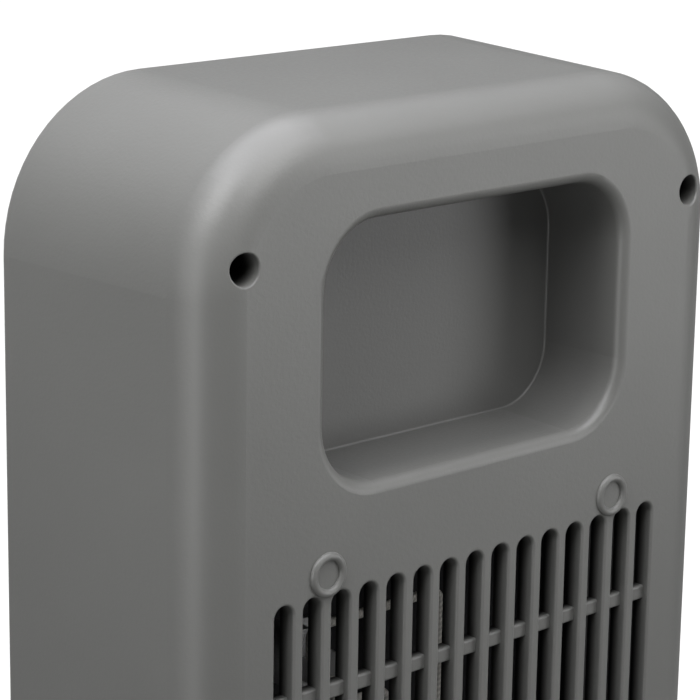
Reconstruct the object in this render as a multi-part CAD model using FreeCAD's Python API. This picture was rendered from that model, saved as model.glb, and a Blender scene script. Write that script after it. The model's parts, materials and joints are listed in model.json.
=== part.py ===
import FreeCAD, Part
import math
import os

# Slim upright carbon heater, sizes in millimetres.
# Frame: origin on the floor under the middle of the body, +Z up, rear face towards +Y, front towards -Y.

# Rear shell: a deep moulded tub, drafted so that it widens towards its open front
SHELL_WIDTH = 175.4           # across the sides at the rear plane
SHELL_DEPTH = 72.0            # rear plane to front rim
SHELL_HEIGHT = 430.9          # at the rear plane
SHELL_DRAFT = 3.1             # growth of each side and the top over the depth
SHELL_WALL = 2.5
TOP_CORNER_R = 38.2           # top corners at the rear plane
BOTTOM_CORNER_R = 18.0
REAR_EDGE_R = 13.1            # soft edge round the rear face
RIM_EDGE_R = 1.2

# Hand-hold recess in the rear face
RECESS_WIDTH = 101.2
RECESS_HEIGHT = 64.2
RECESS_DROP = 24.8            # shell top to recess top
RECESS_DEPTH = 26.0
RECESS_CORNER_R = 16.5
RECESS_DRAFT = 0.6            # each wall leans in by this much over the depth
RECESS_LIP_R = 2.8
RECESS_FLOOR_R = 0.6

# Rear grille
SLOT_COUNT = 15
SLOT_PITCH = 9.0
SLOT_WIDTH = 5.9
SLOT_DROP = 24.6              # recess bottom to slot tops
SLOT_LENGTH = 190.0
SLOT_EDGE_R = 0.7
RIB_DEPTH = 5.1
GRILLE_MARGIN = 4.0           # thick pad beyond the outer slots
BAR_FIRST = 25.9              # slot top to the middle of the first cross bar
BAR_COUNT = 5
BAR_HEIGHT = 3.9
BAR_SETBACK = 2.0             # rear plane to the bar's face
BAR_EDGE_R = 0.6
RING_R = 4.55
RING_WIRE_R = 1.1
RING_SLOT = 5.5               # in slot pitches from the middle
RING_RISE = 4.9               # ring centre above the slot tops

# Rear screws in deep wells, into posts of the front frame
WELL_INSET = 12.4             # shell side to the well's axis
WELL_DROP = 31.4              # shell top to the upper wells
WELL_RISE = 22.0              # shell bottom to the lower wells
WELL_BORE_R = 3.9
WELL_EDGE_R = 0.4
WELL_WALL = 2.0
WELL_SEAT = 2.5               # floor of the well, under the screw head
REAR_SCREW_R = 2.0
REAR_SCREW_HEAD_R = 3.5
REAR_SCREW_HEAD_H = 2.6
REAR_SCREW_LENGTH = 14.0
SCREW_HOLE_CLEARANCE = 0.2
THREAD_CLEARANCE = 0.05
POST_R = 5.0
POST_LENGTH = 14.0            # frame back to the well's end

# Front frame and wire guard
FRAME_CLEARANCE = 0.3
FRAME_PROUD = 0.5             # frame face in front of the shell rim
FRAME_PLATE = 3.0
FRAME_EDGE_R = 1.0
SKIRT_INSET = 1.2
SKIRT_WALL = 2.0
SKIRT_DEPTH = 9.0
WINDOW_MARGIN = 18.7          # shell side to the window
WINDOW_DROP = 36.9            # shell top to the window
PANEL_HEIGHT = 78.0           # control panel below the window
WINDOW_CORNER_R = 26.0
WINDOW_BEVEL = 1.5
GUARD_RING_WIRE_R = 2.0
GUARD_WIRE_R = 1.1
GUARD_OVERLAP = 4.0           # ring centre line outside the window edge
GUARD_CLEARANCE = 0.2
GUARD_PITCH = 10.0
GUARD_UPRIGHT_X = 40.0
WELD_DEPTH = 0.4
HOOK_WIDTH = 8.0
HOOK_WALL = 2.5
HOOK_LIP = 1.8
HOOK_REACH = 3.0
HOOK_STEP = 92.0

# Heating unit
SHIELD_SHEET = 1.0
BOSS_STANDOFF = 2.5           # recess back wall to the shield
BRACKET_SHEET = 1.2
BRACKET_INSET = 10.0          # trough edge to bracket edge
FLANGE_HEIGHT = 18.0
SHELF_GUARD_GAP = 2.2
UNIT_DROP = 12.0              # window top to the upper shelf
UNIT_RISE = 8.0               # window bottom to the lower shelf
TROUGH_DEPTH = 16.0
TROUGH_RIDGE = 2.0            # half width of the flat between the troughs
REFLECTOR_LIP = 2.5
REFLECTOR_SHEET = 0.8
REFLECTOR_GAP = 1.2           # reflector back to the shield
TUBE_R = 6.0
TUBE_WALL = 1.2
TUBE_FRONT_SHARE = 11 / 36    # of the free depth between reflector, cap and guard, how much is in front
CAP_R = 8.0
CAP_LENGTH = 20.0
CAP_SOCKET = 12.0             # depth of the tube in its cap
CAP_NECK_R = 4.5
CAP_NECK_LENGTH = 6.0
CAP_FIT = 0.05
STRIP_WIDTH = 6.0
STRIP_SHEET = 0.6
LEAD_R = 1.2
LEAD_BEND_R = 5.0
LEAD_WELL_GAP = 1.4           # lead to the screw well beside it
LEAD_SHEET_GAP = 1.1          # lead to the reflector's lip
SHIELD_WELL_GAP = 1.7         # shield edge to the screw well beside it
LEAD_RISE = 6.0
LEAD_ENTRY = 9.0              # last upright run of the side leads into the switch
SIDE_LEAD_X = 10.0            # where the side leads enter the switch
LOW_LEAD_X = 3.5
SHIELD_SCREW_INSET = 12.0     # bracket edge to the shield screws
SHIELD_SCREW_R = 1.5
SHIELD_SCREW_HEAD_R = 2.9
SHIELD_SCREW_HEAD_H = 1.9
SHIELD_SCREW_GRIP = 3.8       # thread in the boss
BOSS_R = 4.5
CUTOUT_INSET = 24.0           # trough edge to the thermal cut-out
CUTOUT_DROP = 25.3            # slot tops to the thermal cut-out
CUTOUT_R = 8.0
CUTOUT_HEIGHT = 9.0
CUTOUT_FLANGE_WIDTH = 26.0
CUTOUT_FLANGE_HEIGHT = 13.0
CUTOUT_FLANGE_SHEET = 1.0
BLADE_WIDTH = 6.3
BLADE_SHEET = 0.8
BLADE_LENGTH = 8.0
BLADE_GAP = 8.0
CUTOUT_LEAD_RISE = 8.0        # blade edge to the wire's sideways run
CUTOUT_LEAD_BEND_R = 3.0
CUTOUT_LEAD_X = (16.2, -1.8)  # upright runs of the two wires
CUTOUT_LEAD_INSET = 6.0       # switch side to the first wire's entry
CUTOUT_LEAD_DROP = 7.0        # switch top to both wires' entries

# Rotary control
KNOB_RISE = 42.0              # shell bottom to the knob's axis
KNOB_R = 20.0
KNOB_TOP_R = 17.0
KNOB_HEIGHT = 17.0
KNOB_GAP = 0.8                # knob skirt to the panel
KNOB_CAVITY_R = 14.0
KNOB_CAVITY_DEPTH = 5.5
KNOB_EDGE_R = 1.5
KNOB_FIT = 0.02
GRIP_WIDTH = 8.0
GRIP_HEIGHT = 4.0
SHAFT_R = 3.0
SHAFT_FIT = 0.05
SHAFT_END_GAP = 0.5
SHAFT_END_WALL = 2.5          # knob material over the shaft end
SHAFT_SOCKET = 12.0           # shaft inside the switch body
SWITCH_SIZE = 30.0
SWITCH_DEPTH = 20.0
BUSHING_R = 5.0
BUSHING_LENGTH = 7.0
BUSHING_CLEARANCE = 0.2
NUT_FLATS = 14.0
NUT_HEIGHT = 3.0
PILOT_INSET = 25.0            # window side to the pilot lens
PILOT_R = 4.0
PILOT_FLANGE_R = 5.5
PILOT_FLANGE = 1.2
PILOT_LENGTH = 10.0
PILOT_FIT = 0.1

# Foot of the heater
BASE_WIDTH = 230.0
BASE_DEPTH = 180.0
BASE_HEIGHT = 38.0
BASE_CORNER_R = 70.0
BASE_WALL = 2.5
BASE_EDGE_R = 14.0
FLOOR_GAP = 4.0               # floor to the rim of the base
COLLAR_HEIGHT = 4.0
COLLAR_SIDE_INSET = 12.7      # shell side to collar
COLLAR_END_INSET = 15.0       # shell rear to collar
COLLAR_CORNER_R = 12.0
PLATE_SHEET = 4.0
PLATE_RISE = 2.0              # base rim to the plate's underside
PLATE_CLEARANCE = 0.5
FOOT_R = 11.0
FOOT_SIDE_INSET = 37.0
FOOT_END_INSET = 34.0
FOOT_EDGE_R = 1.0
PASSAGE_R = 10.0
BOLT_SIDE_INSET = 20.0        # collar side to the bolts
BOLT_END_INSET = 9.0
BOLT_R = 2.5
BOLT_HEAD_R = 4.5
BOLT_HEAD_H = 3.0
BOLT_GRIP = 10.0
BODY_BOSS_R = 6.0
BODY_BOSS_HEIGHT = 13.0
BASE_SCREW_SIDE_INSET = 23.0
BASE_SCREW_END_INSET = 62.0
BASE_SCREW_R = 2.0
BASE_SCREW_HEAD_R = 3.6
BASE_SCREW_HEAD_H = 1.6
BASE_SCREW_GRIP = 9.0
BASE_BOSS_R = 5.0

# Tip-over switch, terminal block and cord bushing in the foot
TIP_END_INSET = 42.0          # base front to the plunger's axis
TIP_WIDTH = 20.0
TIP_DEPTH = 26.0
TIP_HEIGHT = 20.0
TIP_FLOOR = 2.5               # switch wall that stops the collar
PLUNGER_R = 4.0
PLUNGER_PAD_R = 7.0
PLUNGER_PAD_H = 2.5
PLUNGER_FLOOR_GAP = 0.3
PLUNGER_FIT = 0.08
PLUNGER_TRAVEL = 5.0
PLUNGER_TIP = 1.1             # stem above its collar
PLUNGER_HEADROOM = 2.0
PLUNGER_HOLE_CLEARANCE = 1.0
PLUNGER_COLLAR_R = 5.5
PLUNGER_COLLAR_H = 2.0
PLUNGER_COLLAR_GAP = 0.4
BLOCK_WIDTH = 34.0
BLOCK_DEPTH = 22.0
BLOCK_HEIGHT = 15.0
BLOCK_POLES = 3
BLOCK_WELL_R = 3.0
BLOCK_WELL_DEPTH = 4.0
SUPPLY_X = 5.0
SUPPLY_RISE = 13.0            # shell bottom to the bend of the supply leads
SUPPLY_ENTRY = 15.0           # frame back to where they enter the switch
GLAND_GAP = 1.0               # base plate to the bushing's pad
GLAND_BORE_R = 3.5
GLAND_BODY_R = 5.0
GLAND_FLANGE_R = 7.0
GLAND_FLANGE = 2.0
GLAND_PAD_R = 9.0
GLAND_PAD = 3.0
GLAND_FIT = 0.1

# Cross recess of every screw, as shares of its head
DRIVE_SPAN = 0.6
DRIVE_WIDTH = 0.28
DRIVE_FLOOR = 0.4

# How near to a plane an edge lies in it, and how far a cut reaches past the face that it opens
ON_PLANE = 1e-4
PAST = 1.0


def both_sides(x):
    return (-x, x)


def corners_of(x, y):
    return [(a, b) for b in both_sides(y) for a in both_sides(x)]


# Heights worked out from the sizes above
BASE_TOP = FLOOR_GAP + BASE_HEIGHT
BASE_CEILING = BASE_TOP - BASE_WALL
PLATE_BOTTOM = FLOOR_GAP + PLATE_RISE
PLATE_TOP = PLATE_BOTTOM + PLATE_SHEET
SHELL_BOTTOM = BASE_TOP + COLLAR_HEIGHT
SHELL_TOP = SHELL_BOTTOM + SHELL_HEIGHT
RECESS_TOP = SHELL_TOP - RECESS_DROP
RECESS_BOTTOM = RECESS_TOP - RECESS_HEIGHT
SLOT_TOP = RECESS_BOTTOM - SLOT_DROP
SLOT_BOTTOM = SLOT_TOP - SLOT_LENGTH
WINDOW_TOP = SHELL_TOP - WINDOW_DROP
WINDOW_BOTTOM = SHELL_BOTTOM + PANEL_HEIGHT
WINDOW_MIDDLE = (WINDOW_TOP + WINDOW_BOTTOM) / 2
UNIT_TOP = WINDOW_TOP - UNIT_DROP
UNIT_BOTTOM = WINDOW_BOTTOM + UNIT_RISE
SHIELD_TOP = UNIT_TOP + FLANGE_HEIGHT
SHIELD_BOTTOM = UNIT_BOTTOM - FLANGE_HEIGHT
NECK_END = UNIT_TOP + BRACKET_SHEET + CAP_NECK_LENGTH
TUBE_HIGH = UNIT_TOP - CAP_LENGTH + CAP_SOCKET
TUBE_LOW = UNIT_BOTTOM + CAP_LENGTH - CAP_SOCKET
CUTOUT_Z = SLOT_TOP - CUTOUT_DROP
KNOB_Z = SHELL_BOTTOM + KNOB_RISE
SWITCH_TOP = KNOB_Z + SWITCH_SIZE / 2
SWITCH_LOW = KNOB_Z - SWITCH_SIZE / 2
PLUNGER_COLLAR_Z = PLATE_TOP + TIP_FLOOR + PLUNGER_TRAVEL + PLUNGER_COLLAR_GAP
PLUNGER_TOP = PLUNGER_COLLAR_Z + PLUNGER_COLLAR_H + PLUNGER_TIP
BLOCK_TOP = PLATE_TOP + BLOCK_HEIGHT
SUPPLY_BEND_Z = SHELL_BOTTOM + SUPPLY_RISE
GLAND_Z = PLATE_TOP + GLAND_GAP + GLAND_PAD_R

# Depths, from the rear face towards the front
REAR_Y = SHELL_DEPTH / 2
RIM_Y = -SHELL_DEPTH / 2
RECESS_BACK_Y = REAR_Y - RECESS_DEPTH
SHIELD_BACK_Y = RECESS_BACK_Y - SHELL_WALL - BOSS_STANDOFF
SHIELD_FRONT_Y = SHIELD_BACK_Y - SHIELD_SHEET
CUTOUT_DISC_Y = SHIELD_BACK_Y + CUTOUT_FLANGE_SHEET
CUTOUT_TOP_Y = CUTOUT_DISC_Y + CUTOUT_HEIGHT
BLADE_END_Y = CUTOUT_TOP_Y + BLADE_LENGTH
FLANGE_FRONT_Y = SHIELD_FRONT_Y - BRACKET_SHEET
REFLECTOR_BACK_Y = SHIELD_FRONT_Y - REFLECTOR_GAP - REFLECTOR_SHEET
FRAME_FACE_Y = RIM_Y - FRAME_PROUD
FRAME_BACK_Y = FRAME_FACE_Y + FRAME_PLATE
POST_END_Y = FRAME_BACK_Y + POST_LENGTH
WELL_SEAT_Y = POST_END_Y + WELL_SEAT
GUARD_Y = FRAME_BACK_Y + GUARD_CLEARANCE + GUARD_RING_WIRE_R
GUARD_UPRIGHT_Y = GUARD_Y + 2 * GUARD_WIRE_R - WELD_DEPTH
GUARD_BACK_Y = GUARD_UPRIGHT_Y + GUARD_WIRE_R
TUBE_FREE_DEPTH = REFLECTOR_BACK_Y - GUARD_BACK_Y - 2 * CAP_R
TUBE_Y = GUARD_BACK_Y + CAP_R + TUBE_FREE_DEPTH * TUBE_FRONT_SHARE
SHELF_FRONT_Y = GUARD_BACK_Y + SHELF_GUARD_GAP
SWITCH_BACK_Y = FRAME_BACK_Y + SWITCH_DEPTH
SHAFT_SOCKET_Y = FRAME_BACK_Y + SHAFT_SOCKET
SUPPLY_ENTRY_Y = FRAME_BACK_Y + SUPPLY_ENTRY
KNOB_BACK_Y = FRAME_FACE_Y - KNOB_GAP
KNOB_FACE_Y = KNOB_BACK_Y - KNOB_HEIGHT
SHAFT_END_Y = KNOB_FACE_Y + SHAFT_END_WALL
BASE_REAR_Y = BASE_DEPTH / 2
GLAND_SEAT_Y = BASE_REAR_Y - BASE_WALL - GLAND_PAD
TIP_Y = TIP_END_INSET - BASE_DEPTH / 2

# Widths and the places of repeated pieces
GRILLE_HALF = SLOT_PITCH * (SLOT_COUNT - 1) / 2 + SLOT_WIDTH / 2
WINDOW_HALF = SHELL_WIDTH / 2 - WINDOW_MARGIN
GUARD_HALF = WINDOW_HALF + GUARD_OVERLAP
WELL_X = SHELL_WIDTH / 2 - WELL_INSET
LEAD_SIDE_X = WELL_X - WELL_BORE_R - WELL_WALL - LEAD_WELL_GAP - LEAD_R
REFLECTOR_HALF = LEAD_SIDE_X - LEAD_R - LEAD_SHEET_GAP
TROUGH_OUTER_X = REFLECTOR_HALF - REFLECTOR_LIP
TUBE_X = (TROUGH_RIDGE + TROUGH_OUTER_X) / 2
SHIELD_HALF = WELL_X - WELL_BORE_R - WELL_WALL - SHIELD_WELL_GAP
CUTOUT_X = TROUGH_OUTER_X - CUTOUT_INSET
BRACKET_HALF = TROUGH_OUTER_X - BRACKET_INSET
CUTOUT_BLADE_X = (CUTOUT_X - BLADE_GAP / 2, CUTOUT_X + BLADE_GAP / 2)
SHIELD_SCREW_X = BRACKET_HALF - SHIELD_SCREW_INSET
PILOT_X = WINDOW_HALF - PILOT_INSET
COLLAR_HALF_X = SHELL_WIDTH / 2 - COLLAR_SIDE_INSET
COLLAR_HALF_Y = SHELL_DEPTH / 2 - COLLAR_END_INSET
SCREW_RISE = FLANGE_HEIGHT / 2 + BRACKET_SHEET
UPPER_SCREW_Z = UNIT_TOP + SCREW_RISE
LOWER_SCREW_Z = UNIT_BOTTOM - SCREW_RISE
WELL_SPOTS = [(x, z) for z in (SHELL_TOP - WELL_DROP, SHELL_BOTTOM + WELL_RISE) for x in both_sides(WELL_X)]
SHIELD_SCREW_SPOTS = [(x, z) for z in (UPPER_SCREW_Z, LOWER_SCREW_Z) for x in both_sides(SHIELD_SCREW_X)]
HOOK_ROWS = [WINDOW_MIDDLE + HOOK_STEP * row for row in (-1, 0, 1)]
BOLT_SPOTS = corners_of(COLLAR_HALF_X - BOLT_SIDE_INSET, COLLAR_HALF_Y - BOLT_END_INSET)
FOOT_SPOTS = corners_of(BASE_WIDTH / 2 - FOOT_SIDE_INSET, BASE_DEPTH / 2 - FOOT_END_INSET)
BASE_SCREW_SPOTS = corners_of(BASE_WIDTH / 2 - BASE_SCREW_SIDE_INSET, BASE_DEPTH / 2 - BASE_SCREW_END_INSET)


def at(x, y, z):
    return FreeCAD.Vector(x, y, z)


ALONG_X = at(1, 0, 0)
ALONG_Y = at(0, 1, 0)
ALONG_Z = at(0, 0, 1)
TO_FRONT = at(0, -1, 0)


def fuse_all(shapes):
    whole = shapes[0].fuse(shapes[1:])
    return whole.removeSplitter()


def rounded_wire(half, low, high, low_r, high_r, place):
    """Closed outline with two radii; place maps its two plane coordinates into space."""
    lean = math.sqrt(0.5)

    def corner(cx, cz, r, sx, sz, first):
        on_side = place(cx + sx * r, cz)
        middle = place(cx + sx * r * lean, cz + sz * r * lean)
        on_end = place(cx, cz + sz * r)
        ends = (on_side, on_end) if first == "side" else (on_end, on_side)
        return Part.Arc(ends[0], middle, ends[1]).toShape(), ends

    arcs = [
        corner(half - low_r, low + low_r, low_r, 1, -1, "end"),
        corner(half - high_r, high - high_r, high_r, 1, 1, "side"),
        corner(-half + high_r, high - high_r, high_r, -1, 1, "end"),
        corner(-half + low_r, low + low_r, low_r, -1, -1, "side"),
    ]
    edges = []
    for index, (arc, ends) in enumerate(arcs):
        following = arcs[(index + 1) % len(arcs)][1]
        edges.append(arc)
        edges.append(Part.makeLine(ends[1], following[0]))
    return Part.Wire(edges)


def upright_wire(y, half, low, high, low_r, high_r):
    return rounded_wire(half, low, high, low_r, high_r, lambda x, z: at(x, y, z))


def flat_wire(z, half_x, half_y, r):
    return rounded_wire(half_x, -half_y, half_y, r, r, lambda x, y: at(x, y, z))


def flat_slab(z, height, half_x, half_y, r):
    return Part.Face(flat_wire(z, half_x, half_y, r)).extrude(at(0, 0, height))


def upright_slab(y, depth, half, low, high, low_r, high_r):
    return Part.Face(upright_wire(y, half, low, high, low_r, high_r)).extrude(at(0, depth, 0))


def box_between(x, y, z):
    return Part.makeBox(x[1] - x[0], y[1] - y[0], z[1] - z[0], at(x[0], y[0], z[0]))


def rod_y(r, y0, y1, x, z):
    return Part.makeCylinder(r, abs(y1 - y0), at(x, min(y0, y1), z), ALONG_Y)


def rod_z(r, z0, z1, x, y):
    return Part.makeCylinder(r, abs(z1 - z0), at(x, y, min(z0, z1)), ALONG_Z)


def edges_at_y(shape, y):
    return [e for e in shape.Edges if max(abs(e.BoundBox.YMin - y), abs(e.BoundBox.YMax - y)) < ON_PLANE]


def edges_at_z(shape, z):
    return [e for e in shape.Edges if max(abs(e.BoundBox.ZMin - z), abs(e.BoundBox.ZMax - z)) < ON_PLANE]


def bent_tube(points, r, bend):
    """Round tube along straight runs joined by tangent arcs."""
    edges = []
    start = points[0]
    for before, corner, after in zip(points, points[1:], points[2:]):
        back = (before - corner).normalize()
        ahead = (after - corner).normalize()
        half_turn = (math.pi - back.getAngle(ahead)) / 2
        tangent = bend * math.tan(half_turn)
        arc_in = corner + back * tangent
        arc_out = corner + ahead * tangent
        inward = (back + ahead).normalize()
        middle = corner + inward * (bend / math.cos(half_turn) - bend)
        edges.append(Part.makeLine(start, arc_in))
        edges.append(Part.Arc(arc_in, middle, arc_out).toShape())
        start = arc_out
    edges.append(Part.makeLine(start, points[-1]))
    path = Part.Wire(edges)
    section = Part.Wire(Part.makeCircle(r, points[0], points[1] - points[0]))
    return path.makePipeShell([section], True, True)


def shell_section(y, inset=0.0):
    """Outline of the drafted tub at depth y, moved inwards by inset."""
    growth = SHELL_DRAFT * (REAR_Y - y) / SHELL_DEPTH - inset
    return upright_wire(
        y,
        SHELL_WIDTH / 2 + growth,
        SHELL_BOTTOM + inset,
        SHELL_TOP + growth,
        BOTTOM_CORNER_R - inset,
        TOP_CORNER_R + growth,
    )


def tub(inset, rear_y, front_y, edge_r):
    solid = Part.makeLoft([shell_section(rear_y, inset), shell_section(front_y, inset)], True, True)
    return solid.makeFillet(edge_r, edges_at_y(solid, rear_y))


def recess_body(inset, rear_y, back_y):
    def section(y):
        lean = RECESS_DRAFT * (REAR_Y - y) / RECESS_DEPTH
        grow = inset - lean
        return upright_wire(
            y,
            RECESS_WIDTH / 2 + grow,
            RECESS_BOTTOM - grow,
            RECESS_TOP + grow,
            RECESS_CORNER_R + grow,
            RECESS_CORNER_R + grow,
        )

    return Part.makeLoft([section(rear_y), section(back_y)], True, True)


def slot_body(x):
    """One upright slot with round ends, reaching past both faces of the grille."""
    r = SLOT_WIDTH / 2
    y = REAR_Y - RIB_DEPTH - PAST
    low = SLOT_BOTTOM + r
    high = SLOT_TOP - r
    edges = [
        Part.makeLine(at(x + r, y, low), at(x + r, y, high)),
        Part.Arc(at(x + r, y, high), at(x, y, SLOT_TOP), at(x - r, y, high)).toShape(),
        Part.makeLine(at(x - r, y, high), at(x - r, y, low)),
        Part.Arc(at(x - r, y, low), at(x, y, SLOT_BOTTOM), at(x + r, y, low)).toShape(),
    ]
    return Part.Face(Part.Wire(edges)).extrude(ALONG_Y * (RIB_DEPTH + 2 * PAST))


def grille_slots():
    first = -SLOT_PITCH * (SLOT_COUNT - 1) / 2
    return [slot_body(first + SLOT_PITCH * index) for index in range(SLOT_COUNT)]


def grille_bars():
    step = (SLOT_LENGTH - 2 * BAR_FIRST) / (BAR_COUNT - 1)
    bars = []
    for index in range(BAR_COUNT):
        middle = SLOT_TOP - BAR_FIRST - step * index
        bar = box_between(
            both_sides(GRILLE_HALF + GRILLE_MARGIN / 2),
            (REAR_Y - RIB_DEPTH, REAR_Y - BAR_SETBACK),
            (middle - BAR_HEIGHT / 2, middle + BAR_HEIGHT / 2),
        )
        face = REAR_Y - BAR_SETBACK
        long_edges = [e for e in edges_at_y(bar, face) if e.BoundBox.ZLength < ON_PLANE]
        bars.append(bar.makeFillet(BAR_EDGE_R, long_edges))
    return bars


def rear_rings():
    rings = []
    for x in both_sides(RING_SLOT * SLOT_PITCH):
        centre = at(x, REAR_Y, SLOT_TOP + RING_RISE)
        rings.append(Part.makeTorus(RING_R, RING_WIRE_R, centre, ALONG_Y))
    return rings


def grille_pad():
    return box_between(
        both_sides(GRILLE_HALF + GRILLE_MARGIN),
        (REAR_Y - RIB_DEPTH, REAR_Y - SHELL_WALL / 2),
        (SLOT_BOTTOM - GRILLE_MARGIN, SLOT_TOP + GRILLE_MARGIN),
    )


def shell_bosses():
    """Screw wells, shield bosses and floor bosses inside the tub."""
    in_wall = REAR_Y - SHELL_WALL / 2
    bosses = [rod_y(WELL_BORE_R + WELL_WALL, REAR_Y - SHELL_WALL, POST_END_Y, x, z) for x, z in WELL_SPOTS]
    for x, z in SHIELD_SCREW_SPOTS:
        bosses.append(rod_y(BOSS_R, in_wall, SHIELD_BACK_Y, x, z))
    for x, y in BOLT_SPOTS:
        bosses.append(rod_z(BODY_BOSS_R, SHELL_BOTTOM, SHELL_BOTTOM + BODY_BOSS_HEIGHT, x, y))
    return bosses


def shell_holes():
    shield_pilot_end = SHIELD_BACK_Y + SHIELD_SCREW_GRIP + SCREW_HOLE_CLEARANCE
    bolt_pilot_end = SHELL_BOTTOM + BOLT_GRIP + SCREW_HOLE_CLEARANCE
    holes = []
    for x, z in WELL_SPOTS:
        holes.append(rod_y(WELL_BORE_R, REAR_Y + PAST, WELL_SEAT_Y, x, z))
        holes.append(rod_y(REAR_SCREW_R + SCREW_HOLE_CLEARANCE, REAR_Y, POST_END_Y - PAST, x, z))
    for x, z in SHIELD_SCREW_SPOTS:
        holes.append(rod_y(SHIELD_SCREW_R + THREAD_CLEARANCE, SHIELD_BACK_Y - PAST, shield_pilot_end, x, z))
    for x, y in BOLT_SPOTS:
        holes.append(rod_z(BOLT_R + THREAD_CLEARANCE, SHELL_BOTTOM - PAST, bolt_pilot_end, x, y))
    holes.append(rod_z(PASSAGE_R, SHELL_BOTTOM - PAST, SHELL_BOTTOM + SHELL_WALL + PAST, 0, 0))
    return holes


def rear_edges(shell, half, low, high):
    """Edges in the rear plane inside a rectangle."""
    edges = []
    for edge in edges_at_y(shell, REAR_Y):
        box = edge.BoundBox
        if max(-box.XMin, box.XMax) < half and box.ZMin > low and box.ZMax < high:
            edges.append(edge)
    return edges


def soft_lip(shell):
    lip = rear_edges(shell, RECESS_WIDTH / 2 + PAST, RECESS_BOTTOM - PAST, RECESS_TOP + PAST)
    return shell.makeFillet(RECESS_LIP_R, lip)


def soft_slots(shell):
    edges = rear_edges(shell, GRILLE_HALF + PAST, SLOT_BOTTOM - PAST, SLOT_TOP + PAST)
    return shell.makeFillet(SLOT_EDGE_R, edges)


def soft_wells(shell):
    """Round the mouths of the screw wells."""
    mouths = []
    for edge in shell.Edges:
        box = edge.BoundBox
        if box.YMin < REAR_Y - REAR_EDGE_R or box.XLength + box.ZLength < ON_PLANE:
            continue
        points = edge.discretize(3)
        for x, z in WELL_SPOTS:
            if max(abs(math.hypot(p.x - x, p.z - z) - WELL_BORE_R) for p in points) < ON_PLANE:
                mouths.append(edge)
    return shell.makeFillet(WELL_EDGE_R, mouths)


def rear_shell():
    shell = tub(0.0, REAR_Y, RIM_Y, REAR_EDGE_R)
    shell = shell.makeFillet(RIM_EDGE_R, edges_at_y(shell, RIM_Y))
    shell = shell.cut(tub(SHELL_WALL, REAR_Y - SHELL_WALL, RIM_Y - PAST, REAR_EDGE_R - SHELL_WALL))
    recess_cup = recess_body(SHELL_WALL, REAR_Y - SHELL_WALL / 2, RECESS_BACK_Y - SHELL_WALL)
    shell = fuse_all([shell, recess_cup, grille_pad()] + shell_bosses())
    recess = recess_body(0.0, REAR_Y, RECESS_BACK_Y)
    shell = shell.cut(recess.makeFillet(RECESS_FLOOR_R, edges_at_y(recess, RECESS_BACK_Y)))
    shell = soft_slots(soft_lip(shell).cut(grille_slots()))
    return fuse_all([soft_wells(shell.cut(shell_holes()))] + grille_bars() + rear_rings())


def guard_hook(side, z):
    """Moulded hook that holds the guard ring against the back of the frame."""
    inner = GUARD_HALF + GUARD_RING_WIRE_R + GUARD_CLEARANCE
    lip_y = GUARD_Y + GUARD_RING_WIRE_R + GUARD_CLEARANCE
    rows = (z - HOOK_WIDTH / 2, z + HOOK_WIDTH / 2)
    stem = box_between((inner, inner + HOOK_WALL), (FRAME_BACK_Y - FRAME_PLATE / 2, lip_y + HOOK_LIP), rows)
    lip = box_between((inner - HOOK_REACH, inner + HOOK_WALL), (lip_y, lip_y + HOOK_LIP), rows)
    hook = stem.fuse(lip).removeSplitter()
    return hook if side > 0 else hook.mirror(at(0, 0, 0), ALONG_X)


def front_frame():
    inset = SHELL_WALL + FRAME_CLEARANCE
    plate = Part.Face(shell_section(FRAME_BACK_Y, inset)).extrude(TO_FRONT * FRAME_PLATE)
    window = upright_slab(FRAME_FACE_Y - PAST, FRAME_PLATE + 2 * PAST, WINDOW_HALF,
                          WINDOW_BOTTOM, WINDOW_TOP, WINDOW_CORNER_R, WINDOW_CORNER_R)
    plate = plate.makeFillet(FRAME_EDGE_R, edges_at_y(plate, FRAME_FACE_Y)).cut(window)
    bevelled = [e for e in edges_at_y(plate, FRAME_FACE_Y) if e.BoundBox.XMax < WINDOW_HALF + PAST
                and e.BoundBox.ZMin > WINDOW_BOTTOM - PAST and e.BoundBox.ZMax < WINDOW_TOP + PAST]
    plate = plate.makeChamfer(WINDOW_BEVEL, bevelled)
    skirt_y = FRAME_BACK_Y - FRAME_PLATE / 2
    skirt_run = ALONG_Y * (SKIRT_DEPTH + FRAME_PLATE / 2)
    skirt = Part.Face(shell_section(skirt_y, inset + SKIRT_INSET)).extrude(skirt_run)
    skirt = skirt.cut(Part.Face(shell_section(skirt_y, inset + SKIRT_INSET + SKIRT_WALL)).extrude(skirt_run))
    posts = [rod_y(POST_R, skirt_y, POST_END_Y, x, z) for x, z in WELL_SPOTS]
    hooks = [guard_hook(side, z) for side in (-1, 1) for z in HOOK_ROWS]
    frame = fuse_all([plate, skirt] + posts + hooks)
    thread_end = WELL_SEAT_Y - REAR_SCREW_LENGTH - SCREW_HOLE_CLEARANCE
    thread_r = REAR_SCREW_R + THREAD_CLEARANCE
    holes = [rod_y(thread_r, POST_END_Y + PAST, thread_end, x, z) for x, z in WELL_SPOTS]
    through = (FRAME_FACE_Y - PAST, FRAME_BACK_Y + PAST)
    holes.append(rod_y(BUSHING_R + BUSHING_CLEARANCE, through[0], through[1], 0, KNOB_Z))
    holes.append(rod_y(PILOT_R + PILOT_FIT, through[0], through[1], PILOT_X, KNOB_Z))
    return frame.cut(holes)


def guard_reach(z):
    """Half length of a cross wire at height z, up to the middle of the ring wire."""
    ring_r = WINDOW_CORNER_R + GUARD_OVERLAP
    straight = (WINDOW_TOP - WINDOW_BOTTOM) / 2 + GUARD_OVERLAP - ring_r
    beyond = max(0.0, abs(z - WINDOW_MIDDLE) - straight)
    return GUARD_HALF - ring_r + math.sqrt(ring_r ** 2 - beyond ** 2)


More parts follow.
